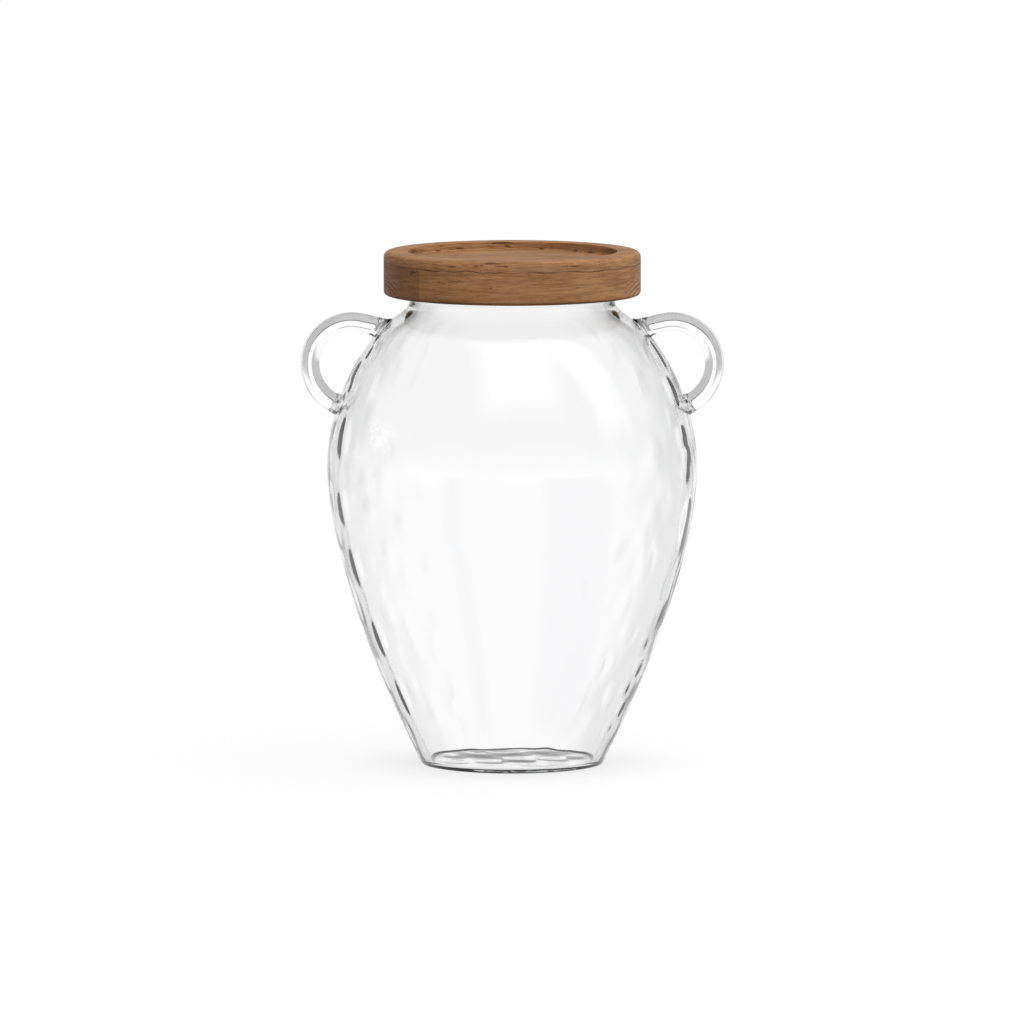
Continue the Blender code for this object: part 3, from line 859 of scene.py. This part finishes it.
def oiled_wood():
    """Brown hardwood with its grain along X, oiled."""
    material, graph = new_material("oiled_wood")
    spot = graph.node("TexCoord")
    place = spot.outputs["Object"]
    parts = graph.node("SeparateXYZ", {"Vector": place})
    x, z = parts.outputs["X"], parts.outputs["Z"]
    level = graph.node("SeparateXYZ", {"Vector": spot.outputs["Normal"]}).outputs["Z"]
    top = graph.math("GREATER_THAN", level, TOP_FACING)
    wave = graph.node("TexNoise", {"Vector": place, **LINE_NOISE}).outputs["Fac"]
    over = graph.math("SUBTRACT", z, graph.math("MULTIPLY_ADD", wave, LINE_WAVE, LINE_HEIGHT))
    fibres = {name: wood_fibres(graph, place, top, *values) for name, values in WOOD_FIBRES.items()}

    colour = tinted(graph, WOOD_BROWN, fibres, WOOD_GROUND)
    colour = graph.mix(year_rings(graph, place, top), colour, WOOD_DARK)
    colour = tinted(graph, colour, fibres, WOOD_TINTS)
    colour = graph.mix(layer_line(graph, place, over), colour, WOOD_BLACK)
    colour = upright_joint(graph, colour, x, over)
    colour = end_grain(graph, colour, x, z)
    # Knots and short cracks, and painted shade on the dish's right inner wall.
    colour = graph.mix(marks_and_painted_shade(graph, place, top), colour, WOOD_BLACK)
    # Painted shade: the colour darkens towards black at the lid's bottom edge.
    under = graph.ramp(z, LID_BOTTOM, LID_BOTTOM + PAINTED_UNDER_REACH, PAINTED_UNDER_SHADE, 0.0)
    colour = graph.mix(under, colour, WOOD_BLACK)

    furrows = graph.math("MULTIPLY", fibres["threads"], -THREAD_DEPTH)
    height = graph.math("MULTIPLY_ADD", fibres["pores"], -PORE_DEPTH, furrows)
    bump = graph.node("Bump", {"Strength": 0.35, "Distance": WOOD_BUMP, "Height": height})
    shader = graph.node("BsdfPrincipled", {
        "Base Color": colour,
        "Roughness": graph.ramp(fibres["streaks"], *NOISE_SPAN, *WOOD_ROUGH),
        "Specular IOR Level": 0.08,
        "Normal": bump.outputs["Normal"],
    })
    out = graph.node("OutputMaterial")
    graph.feed(out.inputs["Surface"], shader.outputs["BSDF"])
    return material


def milky_silicone():
    """Milky silicone."""
    material, graph = new_material("milky_silicone")
    shader = graph.node("BsdfPrincipled", {
        "Base Color": (0.78, 0.78, 0.76, 1.0),
        "Roughness": 0.4,
        "Subsurface Weight": 0.3,
        "Subsurface Scale": 0.002,
    })
    out = graph.node("OutputMaterial")
    graph.feed(out.inputs["Surface"], shader.outputs["BSDF"])
    return material


def floor_material():
    """White floor with a soft shade where the jar stands. What shines through the glass is the studio."""
    material, graph = new_material("white_floor")
    near = graph.node("AmbientOcclusion", {"Distance": SHADE_REACH}, samples=4)
    glow = graph.ramp(near.outputs["AO"], 0.0, 1.0, FLOOR_GLOW * (1 - SHADE_DEPTH), FLOOR_GLOW)
    diffuse = graph.node("LightPath").outputs["Is Diffuse Ray"]
    glow = graph.math("MULTIPLY", glow, graph.ramp(diffuse, 0.0, 1.0, 1.0, FLOOR_BOUNCE))
    shine = graph.node("Emission", {"Color": floor_cards(graph), "Strength": glow})
    matt = graph.node("BsdfDiffuse", {"Color": (0.85, 0.85, 0.85, 1.0)})
    floor = graph.node("MixShader")
    graph.feed(floor.inputs[0], FLOOR_SHARE)
    graph.feed(floor.inputs[1], shine.outputs[0])
    graph.feed(floor.inputs[2], matt.outputs[0])
    clear = graph.node("BsdfTransparent")
    pick = graph.node("MixShader")
    graph.feed(pick.inputs[0], through_glass(graph))
    graph.feed(pick.inputs[1], floor.outputs[0])
    graph.feed(pick.inputs[2], clear.outputs[0])
    out = graph.node("OutputMaterial")
    graph.feed(out.inputs["Surface"], pick.outputs[0])
    return material


def floor_cards(graph):
    """White, with bluish stretches of floor in front of the jar that only its mirror image shows."""
    place = graph.node("SeparateXYZ", {"Vector": graph.node("TexCoord").outputs["Object"]})
    turn = graph.math("ARCTAN2", place.outputs["X"], graph.math("MULTIPLY", place.outputs["Y"], -1.0))
    out = hypot(graph, place.outputs["X"], place.outputs["Y"])
    share = None
    for near, far, half, soft in FLOOR_CARDS:
        middle = graph.node("MapRange", {"Value": out, "From Min": CARDS_REACH[0], "From Max": CARDS_REACH[1],
                                         "To Min": math.radians(near), "To Max": math.radians(far)})
        off = graph.math("ABSOLUTE", graph.math("SUBTRACT", turn, middle.outputs["Result"]))
        card = graph.ramp(off, math.radians(half - soft), math.radians(half + soft), 1.0, 0.0)
        share = card if share is None else graph.math("MAXIMUM", share, card)
    share = graph.math("MULTIPLY", share, graph.ramp(out, *CARDS_START))
    share = graph.math("MULTIPLY", share, graph.node("LightPath").outputs["Is Glossy Ray"])
    return graph.mix(share, WHITE, FLOOR_BLUE)


def through_glass(graph):
    """1 for a ray that comes straight out of glass on its way from the camera, else 0."""
    path = graph.node("LightPath")
    seen = graph.math("LESS_THAN", path.outputs["Diffuse Depth"], 0.5)
    return graph.math("MULTIPLY", path.outputs["Is Transmission Ray"], seen)


def make_world():
    """A white studio. What the glass shows of it depends on how a ray came through."""
    world = bpy.data.worlds.new("studio")
    bpy.context.scene.world = world
    world.use_nodes = True
    graph = Graph(world.node_tree)
    path = graph.node("LightPath")
    way = graph.node("TexCoord").outputs["Generated"]
    mirrored = graph.math("GREATER_THAN", path.outputs["Glossy Depth"], 0.5)
    in_rod = graph.math("LESS_THAN", path.outputs["Transmission Depth"], ROD_CROSSINGS)
    rod_look = bent_look(graph, way, ROD_GREY, ROD_LINE, ROD_SIDES_SEEN, ROD_GAP)
    glass_look = graph.mix(in_rod, straight_look(graph, way), rod_look)
    glass_look = graph.mix(mirrored, glass_look, wall_look(graph, way))
    seen = graph.math("LESS_THAN", path.outputs["Diffuse Depth"], 0.5)
    is_mirror = graph.math("MULTIPLY", path.outputs["Is Glossy Ray"], seen)
    colour = graph.mix(is_mirror, dome_look(graph, way), mirror_look(graph, way))
    colour = graph.mix(through_glass(graph), colour, glass_look)
    colour = graph.mix(path.outputs["Is Camera Ray"], colour, WHITE)
    background = graph.node("Background", {"Color": colour, "Strength": 1.0})
    out = graph.node("OutputWorld")
    graph.feed(out.inputs["Surface"], background.outputs[0])


def dome_look(graph, way):
    """The light on matt things: strongest from above, a little from the front and the right."""
    towards = tuple(Vector(DOME_WAY).normalized())
    facing = graph.node("VectorMath", {0: way, 1: towards}, operation="DOT_PRODUCT").outputs["Value"]
    return graph.mix(graph.ramp(facing, *DOME_SPAN), DOME_DIM, DOME_BRIGHT)


def straight_look(graph, way):
    """What shows straight through the jar: white cards on eight sides, a little greyer between them."""
    parts = graph.node("SeparateXYZ", {"Vector": way})
    turn = graph.math("ARCTAN2", parts.outputs["Y"], parts.outputs["X"])
    off = graph.math("WRAP", turn, SIDE_TURN, -SIDE_TURN)
    low = graph.ramp(off, -SIDE_FADE[0], SIDE_FADE[0], *SIDE_LOW)
    grey = graph.ramp(parts.outputs["Z"], *SIDE_RISE, low, SIDE_GREY)
    light = graph.ramp(graph.math("ABSOLUTE", off), *SIDE_FADE, 1.0, grey)
    return graph.node("CombineColor", {"Red": light, "Green": light, "Blue": light}).outputs["Color"]


def bent_look(graph, way, low, line_fade, sides_seen, gap_share):
    """What sharply bent rays see: a white backdrop, a dark line along its foot and a low tone under it."""
    parts = graph.node("SeparateXYZ", {"Vector": way})
    up, ahead = parts.outputs["Z"], graph.math("ABSOLUTE", parts.outputs["Y"])
    level = graph.math("SQRT", graph.math("SUBTRACT", 1.0, graph.math("MULTIPLY", up, up)))
    side = graph.ramp(graph.math("DIVIDE", ahead, level), *sides_seen, 1.0, 0.0)
    foot = graph.ramp(side, 0.0, 1.0, FOOT_FRONT, FOOT_SIDE)
    over = graph.math("SUBTRACT", up, foot)
    line = graph.math("MULTIPLY", graph.ramp(over, *line_fade), graph.math("SUBTRACT", 1.0, side))
    under = graph.mix(line, low, LINE_DARK)
    start = graph.ramp(side, 0.0, 1.0, FADE_FRONT[0], FADE_SIDE[0])
    end = graph.ramp(side, 0.0, 1.0, FADE_FRONT[1], FADE_SIDE[1])
    look = graph.mix(graph.ramp(over, start, end), under, WHITE)
    off = graph.math("ABSOLUTE", graph.math("SUBTRACT", up, GAP_LEVEL))
    gap = graph.ramp(off, *GAP_SPAN, gap_share, 0.0)
    return graph.mix(graph.math("MULTIPLY", gap, graph.math("SUBTRACT", 1.0, side)), look, LINE_DARK)


def wall_look(graph, way):
    """What the wall shows along the jar's edges, where rays run round inside the glass."""
    parts = graph.node("SeparateXYZ", {"Vector": way})
    up, ahead = parts.outputs["Z"], parts.outputs["Y"]
    look = bent_look(graph, way, WALL_GREY, WALL_LINE, WALL_SIDES_SEEN, 0.0)
    look = graph.mix(WALL_DIM, look, WALL_TONE)
    off = graph.math("ABSOLUTE", graph.math("SUBTRACT", up, DARK_LEVEL))
    zone = graph.ramp(off, *DARK_SPAN, DARK_SHARE, 0.0)
    look = graph.mix(graph.math("MULTIPLY", zone, graph.ramp(ahead, *DARK_AHEAD)), look, LINE_DARK)
    return graph.mix(graph.ramp(ahead, *FRONT_AHEAD), front_look(graph, way), look)


def front_look(graph, way):
    """What the back wall of the jar throws forwards: white above, and a bluish tone low in front."""
    up = graph.node("SeparateXYZ", {"Vector": way}).outputs["Z"]
    return graph.mix(graph.ramp(up, *FRONT_RISE), FRONT_LOW, WHITE)


def patch(graph, way, azimuth, elevation, wide, tall, soft):
    """1 inside a soft-edged patch of the sky, 0 outside; azimuth 0 is behind the camera."""
    a, e = math.radians(azimuth), math.radians(elevation)
    towards = Vector((math.sin(a) * math.cos(e), -math.cos(a) * math.cos(e), math.sin(e)))
    right = Vector((math.cos(a), math.sin(a), 0.0))
    up = right.cross(-towards)
    shares = []
    for axis, size in ((right, wide), (up, tall)):
        across = graph.node("VectorMath", {0: way, 1: tuple(axis)}, operation="DOT_PRODUCT").outputs["Value"]
        size = math.sin(math.radians(size))
        shares.append(graph.ramp(graph.math("ABSOLUTE", across), size * (1 + soft), size * (1 - soft)))
    ahead = graph.node("VectorMath", {0: way, 1: tuple(towards)}, operation="DOT_PRODUCT").outputs["Value"]
    shares.append(graph.math("GREATER_THAN", ahead, 0.0))
    return graph.math("MULTIPLY", graph.math("MULTIPLY", shares[0], shares[1]), shares[2])


def mirror_look(graph, way):
    """What glass and wood mirror: a white floor, and above it a dim room with soft boxes."""
    parts = graph.node("SeparateXYZ", {"Vector": way})
    room = graph.mix(graph.ramp(parts.outputs["Y"], *MIRROR_TURN), MIRROR_ROOM, MIRROR_BACK)
    colour = graph.mix(graph.ramp(parts.outputs["Z"], *MIRROR_HORIZON), WHITE, room)
    for azimuth, elevation, wide, tall, soft, light in SOFT_BOXES:
        share = patch(graph, way, azimuth, elevation, wide, tall, soft)
        colour = graph.mix(share, colour, (light, light, light, 1.0))
    frost = graph.node("TexNoise", {"Vector": way, **SPARKLE_GRAIN}).outputs["Fac"]
    share = graph.math("MULTIPLY", patch(graph, way, *SPARKLE), graph.ramp(frost, *SPARKLE_SPAN))
    return graph.mix(share, colour, SPARKLE_LIGHT)


def make_floor():
    """A wide white floor at the height that the jar stands on."""
    radius = np.linspace(0, STUDIO_RADIUS, STUDIO_RINGS + 1)
    angle = 2 * math.pi * np.arange(STUDIO_SIDES) / STUDIO_SIDES
    x = radius[:, None] * np.cos(angle)[None, :]
    y = radius[:, None] * np.sin(angle)[None, :]
    mesh = mesh_from_rings("studio_floor", x, y, np.zeros_like(x), closed=False)
    floor = bpy.data.objects.new("studio_floor", mesh)
    floor.data.materials.append(floor_material())
    floor.location.z = cad_box[0].z - STUDIO_DROP
    bpy.context.scene.collection.objects.link(floor)


def make_camera():
    """The photograph's view: a long lens from a little above."""
    data = bpy.data.cameras.new("camera")
    data.sensor_width = SENSOR
    data.clip_end = 100.0
    camera = bpy.data.objects.new("camera", data)
    camera.location = (CAMERA_SIDE, -CAMERA_DISTANCE, CAMERA_HEIGHT)
    aim = Vector((CAMERA_SIDE, 0.0, CAMERA_AIM))
    data.lens = SENSOR * (aim - camera.location).length / FRAME_WIDTH
    camera.rotation_euler = (aim - camera.location).to_track_quat("-Z", "Y").to_euler()
    bpy.context.scene.collection.objects.link(camera)
    bpy.context.scene.camera = camera


def build():
    """Dress the frame."""
    glass, wood, silicone = clear_glass(), oiled_wood(), milky_silicone()
    make_glass_body(glass)
    make_handle("right_loop", glass, "right_handle", 0.0)
    make_handle("left_loop", glass, "left_handle", math.pi)
    turned_piece("lid_board", lid_outline(), wood, "lid", "wood", "wooden_lid")
    turned_piece("lid_disc", plug_outline(), wood, "lid", "wood", "lid_plug")
    turned_piece("lid_seal", seal_outline(), silicone, "seal", "silicone", "seal_ring")
    make_floor()
    make_world()
    make_camera()
    bpy.context.scene.view_settings.view_transform = "Standard"


build()
